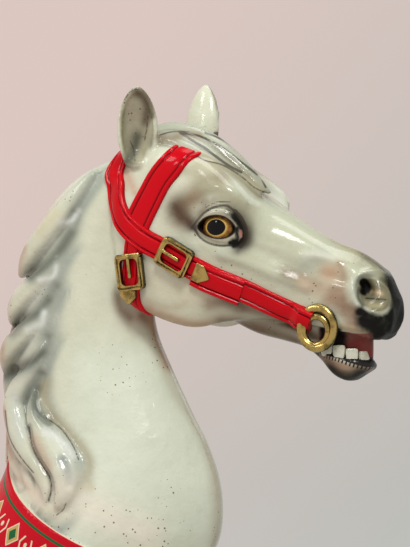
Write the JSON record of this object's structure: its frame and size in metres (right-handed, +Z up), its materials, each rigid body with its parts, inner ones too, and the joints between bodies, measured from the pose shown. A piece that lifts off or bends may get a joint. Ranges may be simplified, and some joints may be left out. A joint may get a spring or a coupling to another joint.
{
  "type": "carousel horse bust",
  "caption": "Bust of a bridled carousel horse, head raised and mouth open, with a carved mane and forelock, bit rings and the front edge of a painted trapping, cut flat across the shoulders.",
  "frame": {"origin": "on the flat underside, under the middle of the neck's base", "axes": "+X is where the horse looks, +Z is up, and the horse's right side is -Y"},
  "size_m": [0.6795, 0.248, 0.6684],
  "materials": {
    "cream_enamel": "aged cream gloss enamel with airbrushed grey, pink and brown shading over a glass-fibre moulding",
    "red_enamel": "high-gloss red enamel with darker lined edges",
    "gold_enamel": "gold paint, darkened in its corners",
    "mouth_enamel": "gloss red and black inside the mouth",
    "tooth_enamel": "glossy off-white",
    "eye_glass": "polished amber glass with a black pupil"
  },
  "bodies": {
    "root": {"horse_bust": "cream_enamel", "right_eye": "eye_glass", "left_eye": "eye_glass"}
  },
  "joints": []
}
